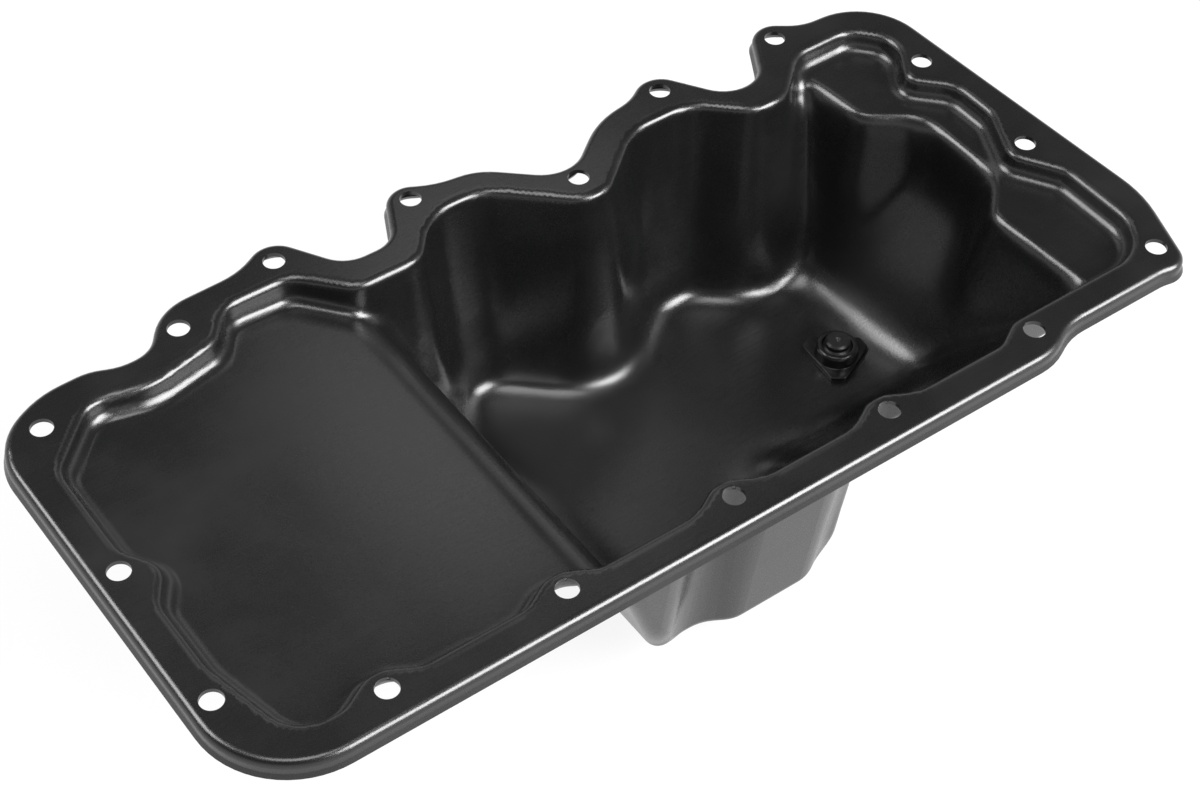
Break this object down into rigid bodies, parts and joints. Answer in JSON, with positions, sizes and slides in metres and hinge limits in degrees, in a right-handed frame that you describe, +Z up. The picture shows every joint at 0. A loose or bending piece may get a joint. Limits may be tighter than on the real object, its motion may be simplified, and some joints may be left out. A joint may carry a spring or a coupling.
{
  "type": "engine oil pan",
  "caption": "Pressed-steel engine sump: a shallow tray stepping down into a deep bowl, with a scalloped bolt flange, turned-down lip and a welded drain nut with its plug.",
  "frame": {"origin": "on the gasket face, midway between the front left and back right corner bolt holes", "axes": "+X along the straight bolt row toward the deep end, +Y toward the scalloped back edge, +Z up out of the gasket face toward the engine"},
  "size_m": [0.4008, 0.1997, 0.1016],
  "materials": {
    "pan_paint": "satin black coating on pressed steel",
    "nut_paint": "satin black coating",
    "plug_steel": "dark plated steel",
    "gasket_metal": "plain soft metal"
  },
  "bodies": {
    "root": {"oil_pan": "pan_paint", "drain_nut": "nut_paint", "drain_plug": "plug_steel", "drain_plug_gasket": "gasket_metal"}
  },
  "joints": []
}
